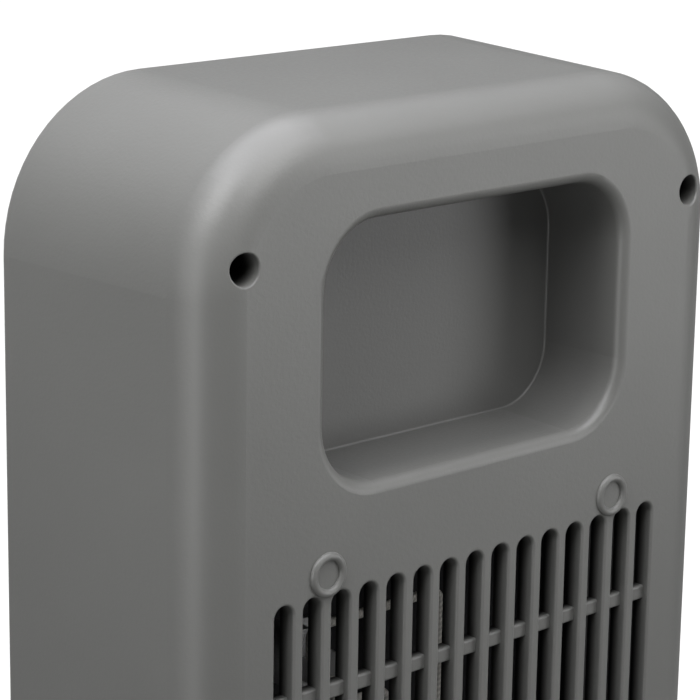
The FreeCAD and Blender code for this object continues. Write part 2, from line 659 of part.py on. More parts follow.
def front_guard():
    low = WINDOW_BOTTOM - GUARD_OVERLAP
    high = WINDOW_TOP + GUARD_OVERLAP
    ring_r = WINDOW_CORNER_R + GUARD_OVERLAP
    path = upright_wire(GUARD_Y, GUARD_HALF, low, high, ring_r, ring_r)
    start = path.Edges[1].Vertexes[0].Point
    section = Part.Wire(Part.makeCircle(GUARD_RING_WIRE_R, start, ALONG_Z))
    ring = path.makePipeShell([section], True, True)
    count = int((high - low - GUARD_PITCH) // GUARD_PITCH)
    first = (low + high - GUARD_PITCH * (count - 1)) / 2
    wires = []
    for index in range(count):
        z = first + GUARD_PITCH * index
        reach = guard_reach(z)
        wires.append(Part.makeCylinder(GUARD_WIRE_R, 2 * reach, at(-reach, GUARD_Y, z), ALONG_X))
    for x in both_sides(GUARD_UPRIGHT_X):
        wires.append(rod_z(GUARD_WIRE_R, low, high, x, GUARD_UPRIGHT_Y))
    return fuse_all([ring] + wires)


def reflector():
    edge_y = REFLECTOR_BACK_Y - TROUGH_DEPTH
    outer_x = TROUGH_OUTER_X
    lip_x = REFLECTOR_HALF

    def face_line(shift):
        def spot(x, y):
            return at(x, y + shift, UNIT_BOTTOM)

        left = Part.Arc(spot(-outer_x, edge_y), spot(-TUBE_X, REFLECTOR_BACK_Y), spot(-TROUGH_RIDGE, edge_y))
        right = Part.Arc(spot(TROUGH_RIDGE, edge_y), spot(TUBE_X, REFLECTOR_BACK_Y), spot(outer_x, edge_y))
        return [
            Part.makeLine(spot(-lip_x, edge_y), spot(-outer_x, edge_y)),
            left.toShape(),
            Part.makeLine(spot(-TROUGH_RIDGE, edge_y), spot(TROUGH_RIDGE, edge_y)),
            right.toShape(),
            Part.makeLine(spot(outer_x, edge_y), spot(lip_x, edge_y)),
        ]

    ends = []
    for x in both_sides(lip_x):
        ends.append(Part.makeLine(at(x, edge_y, UNIT_BOTTOM), at(x, edge_y + REFLECTOR_SHEET, UNIT_BOTTOM)))
    edges = face_line(0.0) + [ends[1]] + face_line(REFLECTOR_SHEET)[::-1] + [ends[0]]
    profile = Part.Face(Part.Wire(Part.__sortEdges__(edges)))
    return profile.extrude(ALONG_Z * (UNIT_TOP - UNIT_BOTTOM))


def upper_bracket():
    width = both_sides(BRACKET_HALF)
    shelf_top = UNIT_TOP + BRACKET_SHEET
    shelf = box_between(width, (SHELF_FRONT_Y, SHIELD_FRONT_Y), (UNIT_TOP, shelf_top))
    flange = box_between(width, (FLANGE_FRONT_Y, SHIELD_FRONT_Y), (UNIT_TOP, SHIELD_TOP))
    neck_hole_r = CAP_NECK_R + SCREW_HOLE_CLEARANCE
    screw_hole_r = SHIELD_SCREW_R + SCREW_HOLE_CLEARANCE
    through = (FLANGE_FRONT_Y - PAST, SHIELD_FRONT_Y + PAST)
    holes = [rod_z(neck_hole_r, UNIT_TOP - PAST, shelf_top + PAST, x, TUBE_Y) for x in both_sides(TUBE_X)]
    for x in both_sides(SHIELD_SCREW_X):
        holes.append(rod_y(screw_hole_r, through[0], through[1], x, UPPER_SCREW_Z))
    return fuse_all([shelf, flange]).cut(holes)


def mirrored_down(shape):
    """The same piece at the lower end of the heating unit."""
    return shape.mirror(at(0, 0, (UNIT_TOP + UNIT_BOTTOM) / 2), ALONG_Z)


def heat_shield():
    plate = box_between(both_sides(SHIELD_HALF), (SHIELD_FRONT_Y, SHIELD_BACK_Y), (SHIELD_BOTTOM, SHIELD_TOP))
    hole_r = SHIELD_SCREW_R + SCREW_HOLE_CLEARANCE
    through = (SHIELD_FRONT_Y - PAST, SHIELD_BACK_Y + PAST)
    return plate.cut([rod_y(hole_r, through[0], through[1], x, z) for x, z in SHIELD_SCREW_SPOTS])


def quartz_tube(x):
    inner = TUBE_R - TUBE_WALL
    return rod_z(TUBE_R, TUBE_LOW, TUBE_HIGH, x, TUBE_Y).cut(
        rod_z(inner, TUBE_LOW - PAST, TUBE_HIGH + PAST, x, TUBE_Y))


def carbon_filament(x):
    return box_between((x - STRIP_WIDTH / 2, x + STRIP_WIDTH / 2),
                       (TUBE_Y - STRIP_SHEET / 2, TUBE_Y + STRIP_SHEET / 2), (TUBE_LOW, TUBE_HIGH))


def ceramic_caps():
    caps = []
    for x in both_sides(TUBE_X):
        cap = rod_z(CAP_R, UNIT_TOP - CAP_LENGTH, UNIT_TOP, x, TUBE_Y)
        neck = rod_z(CAP_NECK_R, UNIT_TOP - PAST, NECK_END, x, TUBE_Y)
        cap = cap.fuse(neck).removeSplitter()
        cap = cap.cut(rod_z(TUBE_R + CAP_FIT, UNIT_TOP - CAP_LENGTH - PAST, TUBE_HIGH, x, TUBE_Y))
        caps += [cap, mirrored_down(cap)]
    return Part.makeCompound(caps)


def tube_leads():
    leads = []
    low_neck = UNIT_TOP + UNIT_BOTTOM - NECK_END
    for side in (-1, 1):
        upper = [
            (TUBE_X, NECK_END),
            (TUBE_X, NECK_END + LEAD_RISE),
            (LEAD_SIDE_X, NECK_END + LEAD_RISE),
            (LEAD_SIDE_X, SWITCH_TOP + LEAD_ENTRY),
            (SIDE_LEAD_X, SWITCH_TOP + LEAD_ENTRY),
            (SIDE_LEAD_X, SWITCH_TOP),
        ]
        lower = [
            (TUBE_X, low_neck),
            (TUBE_X, low_neck - LEAD_RISE),
            (LOW_LEAD_X, low_neck - LEAD_RISE),
            (LOW_LEAD_X, SWITCH_TOP),
        ]
        for route in (upper, lower):
            points = [at(side * x, TUBE_Y, z) for x, z in route]
            leads.append(bent_tube(points, LEAD_R, LEAD_BEND_R))
    return Part.makeCompound(leads)


def thermal_cutout():
    def about(middle, size):
        return (middle - size / 2, middle + size / 2)

    flange = box_between(about(CUTOUT_X, CUTOUT_FLANGE_WIDTH), (SHIELD_BACK_Y, CUTOUT_DISC_Y),
                         about(CUTOUT_Z, CUTOUT_FLANGE_HEIGHT))
    disc = rod_y(CUTOUT_R, SHIELD_BACK_Y, CUTOUT_TOP_Y, CUTOUT_X, CUTOUT_Z)
    blades = []
    for x in CUTOUT_BLADE_X:
        blades.append(box_between(about(x, BLADE_SHEET), (CUTOUT_TOP_Y - PAST, BLADE_END_Y),
                                  about(CUTOUT_Z, BLADE_WIDTH)))
    return fuse_all([flange, disc] + blades)


def cutout_leads():
    """Two wires from the blades, down between shield and grille, into the back of the switch."""
    plane_y = BLADE_END_Y - LEAD_R
    end_z = SWITCH_TOP - CUTOUT_LEAD_DROP
    end_xs = (SWITCH_SIZE / 2 - CUTOUT_LEAD_INSET, CUTOUT_LEAD_X[1])
    leads = []
    for blade_x, upright_x, end_x, way in zip(CUTOUT_BLADE_X, CUTOUT_LEAD_X, end_xs, (-1, 1)):
        edge_z = CUTOUT_Z + way * BLADE_WIDTH / 2
        turn_z = edge_z + way * CUTOUT_LEAD_RISE
        route = [
            (blade_x, plane_y, edge_z),
            (blade_x, plane_y, turn_z),
            (upright_x, plane_y, turn_z),
            (upright_x, plane_y, end_z),
        ]
        if end_x != upright_x:
            route.append((end_x, plane_y, end_z))
        route.append((end_x, SWITCH_BACK_Y, end_z))
        leads.append(bent_tube([at(*spot) for spot in route], LEAD_R, CUTOUT_LEAD_BEND_R))
    return Part.makeCompound(leads)


def rotary_switch():
    half = SWITCH_SIZE / 2
    case = box_between((-half, half), (FRAME_BACK_Y, SWITCH_BACK_Y), (SWITCH_LOW, SWITCH_TOP))
    bushing = rod_y(BUSHING_R, FRAME_BACK_Y, FRAME_BACK_Y - BUSHING_LENGTH, 0, KNOB_Z)
    bore = rod_y(SHAFT_R + SHAFT_FIT, FRAME_BACK_Y - BUSHING_LENGTH - PAST, SHAFT_SOCKET_Y, 0, KNOB_Z)
    return fuse_all([case, bushing]).cut(bore)


def switch_nut():
    corner_r = NUT_FLATS / math.sqrt(3)
    corners = []
    for index in range(7):
        turn = math.radians(60 * index)
        corners.append(at(corner_r * math.cos(turn), FRAME_FACE_Y, KNOB_Z + corner_r * math.sin(turn)))
    nut = Part.Face(Part.makePolygon(corners)).extrude(TO_FRONT * NUT_HEIGHT)
    bore_end = FRAME_FACE_Y - NUT_HEIGHT - PAST
    return nut.cut(rod_y(BUSHING_R + THREAD_CLEARANCE, FRAME_FACE_Y + PAST, bore_end, 0, KNOB_Z))


def switch_shaft():
    return rod_y(SHAFT_R, SHAFT_SOCKET_Y - SHAFT_END_GAP, SHAFT_END_Y, 0, KNOB_Z)


def control_knob():
    centre = at(0, KNOB_BACK_Y, KNOB_Z)
    knob = Part.makeCone(KNOB_R, KNOB_TOP_R, KNOB_HEIGHT, centre, TO_FRONT)
    knob = knob.makeFillet(KNOB_EDGE_R, edges_at_y(knob, KNOB_FACE_Y))
    half_grip = KNOB_TOP_R - KNOB_EDGE_R
    grip = box_between(both_sides(GRIP_WIDTH / 2), (KNOB_FACE_Y - GRIP_HEIGHT, KNOB_FACE_Y + PAST),
                       (KNOB_Z - half_grip, KNOB_Z + half_grip))
    grip = grip.makeFillet(KNOB_EDGE_R, edges_at_y(grip, KNOB_FACE_Y - GRIP_HEIGHT))
    cavity = rod_y(KNOB_CAVITY_R, KNOB_BACK_Y + PAST, KNOB_BACK_Y - KNOB_CAVITY_DEPTH, 0, KNOB_Z)
    bore = rod_y(SHAFT_R + KNOB_FIT, KNOB_BACK_Y, SHAFT_END_Y, 0, KNOB_Z)
    return fuse_all([knob, grip]).cut([cavity, bore])


def pilot_lens():
    barrel = rod_y(PILOT_R, FRAME_FACE_Y, FRAME_FACE_Y + PILOT_LENGTH, PILOT_X, KNOB_Z)
    face_y = FRAME_FACE_Y - PILOT_FLANGE
    flange = rod_y(PILOT_FLANGE_R, FRAME_FACE_Y, face_y, PILOT_X, KNOB_Z)
    flange = flange.makeFillet(PILOT_FLANGE / 2, edges_at_y(flange, face_y))
    return fuse_all([flange, barrel])


def base_cover():
    half_x = BASE_WIDTH / 2
    half_y = BASE_DEPTH / 2
    cover = flat_slab(FLOOR_GAP, BASE_HEIGHT, half_x, half_y, BASE_CORNER_R)
    cover = cover.makeFillet(BASE_EDGE_R, edges_at_z(cover, BASE_TOP))
    hollow_low = FLOOR_GAP - PAST
    hollow = flat_slab(hollow_low, BASE_CEILING - hollow_low, half_x - BASE_WALL, half_y - BASE_WALL,
                       BASE_CORNER_R - BASE_WALL)
    hollow = hollow.makeFillet(BASE_EDGE_R - BASE_WALL, edges_at_z(hollow, BASE_CEILING))
    cover = cover.cut(hollow)
    collar_height = SHELL_BOTTOM - BASE_CEILING
    collar = flat_slab(BASE_CEILING, collar_height, COLLAR_HALF_X, COLLAR_HALF_Y, COLLAR_CORNER_R)
    boss_top = BASE_CEILING + BASE_WALL / 2
    bosses = [rod_z(BASE_BOSS_R, PLATE_TOP, boss_top, x, y) for x, y in BASE_SCREW_SPOTS]
    gland_pad = rod_y(GLAND_PAD_R, GLAND_SEAT_Y, BASE_REAR_Y - BASE_WALL / 2, 0, GLAND_Z)
    cover = fuse_all([cover, collar, gland_pad] + bosses)
    thread_r = BASE_SCREW_R + THREAD_CLEARANCE
    thread_end = PLATE_TOP + BASE_SCREW_GRIP + SCREW_HOLE_CLEARANCE
    holes = [rod_z(thread_r, PLATE_TOP - PAST, thread_end, x, y) for x, y in BASE_SCREW_SPOTS]
    for x, y in BOLT_SPOTS:
        holes.append(rod_z(BOLT_R + SCREW_HOLE_CLEARANCE, BASE_CEILING - PAST, SHELL_BOTTOM + PAST, x, y))
    holes.append(rod_z(PASSAGE_R, BASE_CEILING - PAST, SHELL_BOTTOM + PAST, 0, 0))
    outside = BASE_REAR_Y + PAST
    holes.append(rod_y(GLAND_BODY_R + GLAND_FIT, GLAND_SEAT_Y - PAST, outside, 0, GLAND_Z))
    holes.append(rod_y(GLAND_FLANGE_R + GLAND_FIT, BASE_REAR_Y - GLAND_FLANGE, outside, 0, GLAND_Z))
    return cover.cut(holes)


def base_plate():
    inset = BASE_WALL + PLATE_CLEARANCE
    plate = flat_slab(PLATE_BOTTOM, PLATE_SHEET, BASE_WIDTH / 2 - inset, BASE_DEPTH / 2 - inset,
                      BASE_CORNER_R - inset)
    low = PLATE_BOTTOM - PAST
    high = PLATE_TOP + PAST
    holes = [rod_z(BASE_SCREW_R + SCREW_HOLE_CLEARANCE, low, high, x, y) for x, y in BASE_SCREW_SPOTS]
    holes.append(rod_z(PLUNGER_R + PLUNGER_HOLE_CLEARANCE, low, high, 0, TIP_Y))
    return plate.cut(holes)


def rubber_feet():
    feet = []
    for x, y in FOOT_SPOTS:
        foot = rod_z(FOOT_R, 0, PLATE_BOTTOM, x, y)
        feet.append(foot.makeFillet(FOOT_EDGE_R, edges_at_z(foot, 0)))
    return Part.makeCompound(feet)


def tip_switch():
    case = box_between(both_sides(TIP_WIDTH / 2), (TIP_Y - TIP_DEPTH / 2, TIP_Y + TIP_DEPTH / 2),
                       (PLATE_TOP, PLATE_TOP + TIP_HEIGHT))
    bore = rod_z(PLUNGER_R + PLUNGER_FIT, PLATE_TOP - PAST, PLUNGER_TOP, 0, TIP_Y)
    chamber = rod_z(PLUNGER_COLLAR_R + PLUNGER_COLLAR_GAP, PLATE_TOP + TIP_FLOOR,
                    PLUNGER_TOP + PLUNGER_HEADROOM, 0, TIP_Y)
    return case.cut([bore, chamber])


def tip_plunger():
    pad = rod_z(PLUNGER_PAD_R, PLUNGER_FLOOR_GAP, PLUNGER_FLOOR_GAP + PLUNGER_PAD_H, 0, TIP_Y)
    stem = rod_z(PLUNGER_R, PLUNGER_FLOOR_GAP, PLUNGER_TOP, 0, TIP_Y)
    collar_top = PLUNGER_COLLAR_Z + PLUNGER_COLLAR_H
    collar = rod_z(PLUNGER_COLLAR_R, PLUNGER_COLLAR_Z, collar_top, 0, TIP_Y)
    return fuse_all([pad, stem, collar])


def terminal_block():
    block = box_between(both_sides(BLOCK_WIDTH / 2), both_sides(BLOCK_DEPTH / 2), (PLATE_TOP, BLOCK_TOP))
    step = BLOCK_WIDTH / BLOCK_POLES
    wells = []
    for index in range(BLOCK_POLES):
        x = step * (index - (BLOCK_POLES - 1) / 2)
        for y in both_sides(BLOCK_DEPTH / 4):
            wells.append(rod_z(BLOCK_WELL_R, BLOCK_TOP - BLOCK_WELL_DEPTH, BLOCK_TOP + PAST, x, y))
    return block.cut(wells)


def supply_leads():
    route = [
        (0, BLOCK_TOP),
        (0, SUPPLY_BEND_Z),
        (SUPPLY_ENTRY_Y, SUPPLY_BEND_Z),
        (SUPPLY_ENTRY_Y, SWITCH_LOW),
    ]
    leads = []
    for x in both_sides(SUPPLY_X):
        leads.append(bent_tube([at(x, y, z) for y, z in route], LEAD_R, LEAD_BEND_R))
    return Part.makeCompound(leads)


def cord_gland():
    inner_y = GLAND_SEAT_Y - GLAND_FLANGE
    barrel = rod_y(GLAND_BODY_R, inner_y, BASE_REAR_Y, 0, GLAND_Z)
    inner = rod_y(GLAND_FLANGE_R, inner_y, GLAND_SEAT_Y, 0, GLAND_Z)
    outer = rod_y(GLAND_FLANGE_R, BASE_REAR_Y - GLAND_FLANGE, BASE_REAR_Y, 0, GLAND_Z)
    bore = rod_y(GLAND_BORE_R, inner_y - PAST, BASE_REAR_Y + PAST, 0, GLAND_Z)
    return fuse_all([barrel, inner, outer]).cut(bore)


def screw(seat, run, shank_r, length, head_r, head_h):
    """Cross-head screw: its head sits on seat, and its shank runs along run."""
    shank = Part.makeCylinder(shank_r, length, seat, run)
    head = Part.makeCylinder(head_r, head_h, seat, run * -1)
    drive = []
    for turn in (0, 90):
        blade = Part.makeBox(2 * head_r * DRIVE_SPAN, head_r * DRIVE_WIDTH, head_h)
        blade.translate(at(-head_r * DRIVE_SPAN, -head_r * DRIVE_WIDTH / 2, head_h * DRIVE_FLOOR))
        blade.rotate(at(0, 0, 0), ALONG_Z, turn)
        drive.append(blade)
    cross = fuse_all(drive)
    cross.Placement = FreeCAD.Placement(seat, FreeCAD.Rotation(ALONG_Z, run * -1)).multiply(cross.Placement)
    return fuse_all([shank, head]).cut(cross)


def rear_screws():
    return Part.makeCompound([
        screw(at(x, WELL_SEAT_Y, z), TO_FRONT, REAR_SCREW_R, REAR_SCREW_LENGTH, REAR_SCREW_HEAD_R,
              REAR_SCREW_HEAD_H) for x, z in WELL_SPOTS])


def shield_screws():
    length = BRACKET_SHEET + SHIELD_SHEET + SHIELD_SCREW_GRIP
    return Part.makeCompound([
        screw(at(x, FLANGE_FRONT_Y, z), ALONG_Y, SHIELD_SCREW_R, length, SHIELD_SCREW_HEAD_R,
              SHIELD_SCREW_HEAD_H) for x, z in SHIELD_SCREW_SPOTS])


def body_bolts():
    length = SHELL_BOTTOM - BASE_CEILING + BOLT_GRIP
    return Part.makeCompound([
        screw(at(x, y, BASE_CEILING), ALONG_Z, BOLT_R, length, BOLT_HEAD_R, BOLT_HEAD_H)
        for x, y in BOLT_SPOTS])


def base_screws():
    length = PLATE_SHEET + BASE_SCREW_GRIP
    return Part.makeCompound([
        screw(at(x, y, PLATE_BOTTOM), ALONG_Z, BASE_SCREW_R, length, BASE_SCREW_HEAD_R, BASE_SCREW_HEAD_H)
        for x, y in BASE_SCREW_SPOTS])


def save(shape, name):
    shape.exportStep("parts/" + name + ".step")
    print(name, len(shape.Solids), shape.isValid(), round(shape.Volume, 1))


os.makedirs("parts", exist_ok=True)
save(rear_shell(), "rear_shell")
save(front_frame(), "front_frame")
save(front_guard(), "front_guard")
save(reflector(), "reflector")
save(heat_shield(), "heat_shield")
save(upper_bracket(), "upper_bracket")
save(mirrored_down(upper_bracket()), "lower_bracket")
save(quartz_tube(TUBE_X), "quartz_tube_left")
save(quartz_tube(-TUBE_X), "quartz_tube_right")
save(carbon_filament(TUBE_X), "carbon_filament_left")
save(carbon_filament(-TUBE_X), "carbon_filament_right")
save(ceramic_caps(), "ceramic_caps")
save(tube_leads(), "tube_leads")
save(thermal_cutout(), "thermal_cutout")
save(cutout_leads(), "cutout_leads")
save(rotary_switch(), "rotary_switch")
save(switch_nut(), "switch_nut")
save(switch_shaft(), "switch_shaft")
save(control_knob(), "control_knob")
save(pilot_lens(), "pilot_lens")
save(base_cover(), "base_cover")
save(base_plate(), "base_plate")
save(rubber_feet(), "rubber_feet")
save(tip_switch(), "tip_switch")
save(tip_plunger(), "tip_plunger")
save(terminal_block(), "terminal_block")
save(supply_leads(), "supply_leads")
save(cord_gland(), "cord_gland")
save(rear_screws(), "rear_screws")
save(shield_screws(), "shield_screws")
save(body_bolts(), "body_bolts")
save(base_screws(), "base_screws")
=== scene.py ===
import json
import math
import bmesh
import bpy
from mathutils import Matrix, Vector


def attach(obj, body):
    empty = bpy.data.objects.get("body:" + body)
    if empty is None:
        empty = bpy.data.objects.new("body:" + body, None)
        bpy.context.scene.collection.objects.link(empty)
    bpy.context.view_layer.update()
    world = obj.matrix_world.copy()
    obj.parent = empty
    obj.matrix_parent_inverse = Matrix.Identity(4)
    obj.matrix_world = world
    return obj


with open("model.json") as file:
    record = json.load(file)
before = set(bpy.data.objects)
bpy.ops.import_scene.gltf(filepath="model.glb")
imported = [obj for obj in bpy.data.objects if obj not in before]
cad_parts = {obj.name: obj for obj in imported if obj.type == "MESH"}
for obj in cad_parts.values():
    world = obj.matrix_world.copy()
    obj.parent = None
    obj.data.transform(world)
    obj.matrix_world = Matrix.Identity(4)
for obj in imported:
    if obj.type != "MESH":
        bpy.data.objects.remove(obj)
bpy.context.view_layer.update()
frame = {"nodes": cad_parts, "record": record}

NODES = frame["nodes"]
SLOT_OF = {part["node"]: part["material_slot"] for part in frame["record"]["subparts"]}

# Camera fitted to the photograph: angles in degrees, place in metres, lens for a 36 mm square sensor
CAMERA_AZIMUTH = 137.2687
CAMERA_ELEVATION = 14.3730
CAMERA_ROLL = 0.8942
CAMERA_PLACE = Vector((0.470841, 0.498559, 0.583453))
CAMERA_LENS = 143.572
SENSOR = 36.0
NEAR_CLIP = 0.01

# Dial on the control panel, in metres and degrees, each mark as its length and width
KNOB_AXIS_Z = 0.088
PANEL_Y = -0.0365              # face of the panel
KNOB_GRIP_Y = -0.0583          # face of the knob's grip
DIAL_RADIUS = 0.0245           # to the middle of the marks
DIAL_DIGIT_RADIUS = 0.0305
DIAL_TURN = 120.0              # from the first setting to the last
DIAL_STEPS = 2
DIAL_MINOR = 5                 # short marks between two settings
LONG_MARK = (0.0042, 0.0011)
SHORT_MARK = (0.0016, 0.0008)
POINTER_MARK = (0.0085, 0.0016)
POINTER_RADIUS = 0.0095
DIGIT_SIZE = 0.0058
INK_HEIGHT = 0.00012
ROUND_END_STEPS = 8

# Studio softboxes: name, azimuth in degrees, reach from the middle and height of the centre in metres,
# width and height in metres, power in watts
SOFTBOXES = [
    ("overhead", 0, 0.0, 1.2, 0.9, 0.9, 8.0),
    ("above_left", 75, 0.5, 1.25, 0.85, 0.85, 2.9),
    ("above_right", 255, 0.5, 1.25, 0.85, 0.85, 0.6),
    ("above_front", 315, 0.5, 1.25, 0.85, 0.85, 0.5),
    ("left", 95, 1.0, 0.6, 0.7, 1.1, 2.5),
    ("right", 224, 1.2, 0.5, 0.6, 0.8, 3.8),
    ("small_left", 110, 0.4, 0.84, 0.3, 0.3, 1.5),
    ("small_rear", 176, 0.4, 0.84, 0.3, 0.3, 0.97),
    ("small_right", 215, 0.4, 0.84, 0.3, 0.3, 0.57),
    ("front", 350, 1.5, 0.7, 1.2, 0.9, 2.4),
    ("front_low", 350, 1.5, 0.25, 1.8, 0.42, 6.0),
]
GLOSS_CARD = ("gloss_card", 112, 1.0, 0.36, 0.4, 0.64, 1.7)    # seen in reflections alone
FILL_CARD = ("fill_card", 285, 1.3, 0.35, 0.6, 0.6, 2.3)       # left out of reflections
AIM = Vector((0, 0, 0.42))
ABOVE = 1.0                    # lamps higher than this have the tint
ABOVE_TINT = (0.98, 0.975, 1.025)

# Floor and room
FLOOR_HALF = 15.0
FLOOR_PALE = (0.9, 0.9, 0.9)
FLOOR_PALER = (0.92, 0.92, 0.92)
FLOOR_LIGHT = 3.9
FLOOR_LIGHT_SPREAD = 70.0
SKY_BELOW = (0.28, 0.28, 0.28)
SKY_ABOVE = (0.004, 0.004, 0.004)
HORIZON = (0.47, 0.53)         # fade between the two, from 0 straight down to 1 straight up
BACKDROP = (1.0, 1.0, 1.0)

# Painted shade in the hollows of the shell, darker with depth: across, up, start and end of the fade in
# depth, colour
# Painted shade, near black, deep in the slots of the grille
SLOT_PAINTED_SHADE = ((-0.067, 0.067), (0.1725, 0.364), 0.0340, 0.0315, (0.006, 0.006, 0.006))
# Painted shade, a darker grey, deep in the hand-hold recess
RECESS_PAINTED_SHADE = ((-0.0508, 0.0508), (0.3875, 0.4527), 0.0345, 0.0265, (0.132, 0.1325, 0.128))
# Painted shade, near black, deep in the four screw wells
WELL_X = 0.0753
WELL_HEIGHTS = (0.0680, 0.4455)
WELL_HALF = 0.0041
WELL_SHADE_FADE = (0.0345, 0.0300)
WELL_SHADE_COLOUR = (0.012, 0.012, 0.012)
WELL_PAINTED_SHADES = [
    ((x - WELL_HALF, x + WELL_HALF), (z - WELL_HALF, z + WELL_HALF), *WELL_SHADE_FADE, WELL_SHADE_COLOUR)
    for x in (-WELL_X, WELL_X)
    for z in WELL_HEIGHTS
]

# Scales of the textures, per metre
PLASTIC_CLOUD = 22.0
METAL_CLOUD = 45.0
SPANGLE = 140.0
SPANGLE_GRAIN = 1200.0
GLASS_WAVES = 160.0
GLASS_CLOUD = 60.0
CARBON_TOWS = 260.0
SLEEVE_BRAID = 420.0
PAPER_CLOUD = 3.0
METAL_GRAIN_DEPTH = 0.00003    # in metres


def add_object(name, data):
    holder = bpy.data.objects.new(name, data)
    bpy.context.collection.objects.link(holder)
    return holder


def new_material(name):
    material = bpy.data.materials.new(name)
    material.use_nodes = True
    shader = material.node_tree.nodes["Principled BSDF"]
    return material, material.node_tree, shader


def object_coordinates(tree):
    return tree.nodes.new("ShaderNodeTexCoord").outputs["Object"]


def split_axes(tree, vector):
    node = tree.nodes.new("ShaderNodeSeparateXYZ")
    tree.links.new(vector, node.inputs["Vector"])
    return node.outputs


def stretched(tree, vector, scale):
    mapping = tree.nodes.new("ShaderNodeMapping")
    mapping.inputs["Scale"].default_value = scale
    tree.links.new(vector, mapping.inputs["Vector"])
    return mapping.outputs["Vector"]


def noise(tree, vector, scale, detail=2.0, roughness=0.5):
    node = tree.nodes.new("ShaderNodeTexNoise")
    node.inputs["Scale"].default_value = scale
    node.inputs["Detail"].default_value = detail
    node.inputs["Roughness"].default_value = roughness
    tree.links.new(vector, node.inputs["Vector"])
    return node.outputs["Fac"]


def wave(tree, vector, direction, scale, distortion):
    node = tree.nodes.new("ShaderNodeTexWave")
    node.bands_direction = direction
    node.inputs["Scale"].default_value = scale
    node.inputs["Distortion"].default_value = distortion
    tree.links.new(vector, node.inputs["Vector"])
    return node.outputs["Fac"]


def ramp(tree, value, low, high, start=0.3, end=0.7):
    node = tree.nodes.new("ShaderNodeValToRGB")
    node.color_ramp.elements[0].position = start
    node.color_ramp.elements[1].position = end
    node.color_ramp.elements[0].color = (*low, 1.0)
    node.color_ramp.elements[1].color = (*high, 1.0)
    tree.links.new(value, node.inputs["Fac"])
    return node.outputs["Color"]


def span(tree, value, low=0.0, high=1.0, start=0.0, end=1.0):
    """Goes from low to high as the value goes from start to end."""
    node = tree.nodes.new("ShaderNodeMapRange")
    node.inputs["From Min"].default_value = start
    node.inputs["From Max"].default_value = end
    node.inputs["To Min"].default_value = low
    node.inputs["To Max"].default_value = high
    tree.links.new(value, node.inputs["Value"])
    return node.outputs["Result"]


def bump(tree, height, strength, distance):
    node = tree.nodes.new("ShaderNodeBump")
    node.inputs["Strength"].default_value = strength
    node.inputs["Distance"].default_value = distance
    tree.links.new(height, node.inputs["Height"])
    return node.outputs["Normal"]


def within(tree, value, low, high):
    """One where value lies between low and high, else zero."""
    node = tree.nodes.new("ShaderNodeMath")
    node.operation = "COMPARE"
    node.inputs[1].default_value = (low + high) / 2
    node.inputs[2].default_value = (high - low) / 2
    tree.links.new(value, node.inputs[0])
    return node.outputs["Value"]


def times(tree, a, b):
    node = tree.nodes.new("ShaderNodeMath")
    node.operation = "MULTIPLY"
    tree.links.new(a, node.inputs[0])
    tree.links.new(b, node.inputs[1])
    return node.outputs["Value"]


def blend(tree, factor, colours, colour):
    """Colours that go over to one fixed colour with the factor."""
    node = tree.nodes.new("ShaderNodeMix")
    node.data_type = "RGBA"
    tree.links.new(factor, node.inputs["Factor"])
    tree.links.new(colours, node.inputs["A"])
    node.inputs["B"].default_value = (*colour, 1.0)
    return node.outputs["Result"]


def shade(colour, factor):
    return tuple(channel * factor for channel in colour)


def darkened(tree, vector, colours, zone):
    """Colours that go over to the zone's painted shade colour with depth below the rear face."""
    across, up, start, end, colour = zone
    place = split_axes(tree, vector)
    inside = times(tree, within(tree, place["X"], *across), within(tree, place["Z"], *up))
    depth = span(tree, place["Y"], start=start, end=end)
    return blend(tree, times(tree, inside, depth), colours, colour)


def dress(tree, shader, colours, normal, roughness=None):
    """Connect what gives a surface its detail; a roughness that is the same all over stays on the shader."""
    tree.links.new(colours, shader.inputs["Base Color"])
    tree.links.new(normal, shader.inputs["Normal"])
    if roughness is not None:
        tree.links.new(roughness, shader.inputs["Roughness"])


def moulded(name, colour, roughness, grain=2600.0, depth=0.00004, strength=0.35, mottle=0.05, specular=0.4,
            painted_shades=()):
    """Moulded plastic or rubber: eroded-tool grain, faint cloudiness, uneven gloss and painted shade in any
    hollows given.
    """
    material, tree, shader = new_material(name)
    vector = object_coordinates(tree)
    cloud = noise(tree, vector, PLASTIC_CLOUD, detail=3.0)
    fine = noise(tree, vector, grain, detail=3.0, roughness=0.6)
    colours = ramp(tree, cloud, shade(colour, 1 - mottle), shade(colour, 1 + mottle))
    # Paint shade into each hollow given, darker with depth
    for zone in painted_shades:
        colours = darkened(tree, vector, colours, zone)
    gloss = span(tree, fine, low=roughness - 0.06, high=roughness + 0.06)
    dress(tree, shader, colours, bump(tree, fine, strength, depth), gloss)
    shader.inputs["Specular IOR Level"].default_value = specular
    return material


def metal(name, colour, roughness, stretch=(1.0, 1.0, 1.0), grain=900.0, strength=0.15, patch=0.08):
    """Metal with a drawn, rolled or plated grain; stretch sets the direction of the grain."""
    material, tree, shader = new_material(name)
    vector = object_coordinates(tree)
    lines = noise(tree, stretched(tree, vector, stretch), grain, detail=4.0, roughness=0.6)
    cloud = noise(tree, vector, METAL_CLOUD, detail=3.0)
    colours = ramp(tree, cloud, shade(colour, 1 - patch), shade(colour, 1 + patch))
    gloss = span(tree, lines, low=roughness * 0.7, high=roughness * 1.3)
    dress(tree, shader, colours, bump(tree, lines, strength, METAL_GRAIN_DEPTH), gloss)
    shader.inputs["Metallic"].default_value = 1.0
    return material


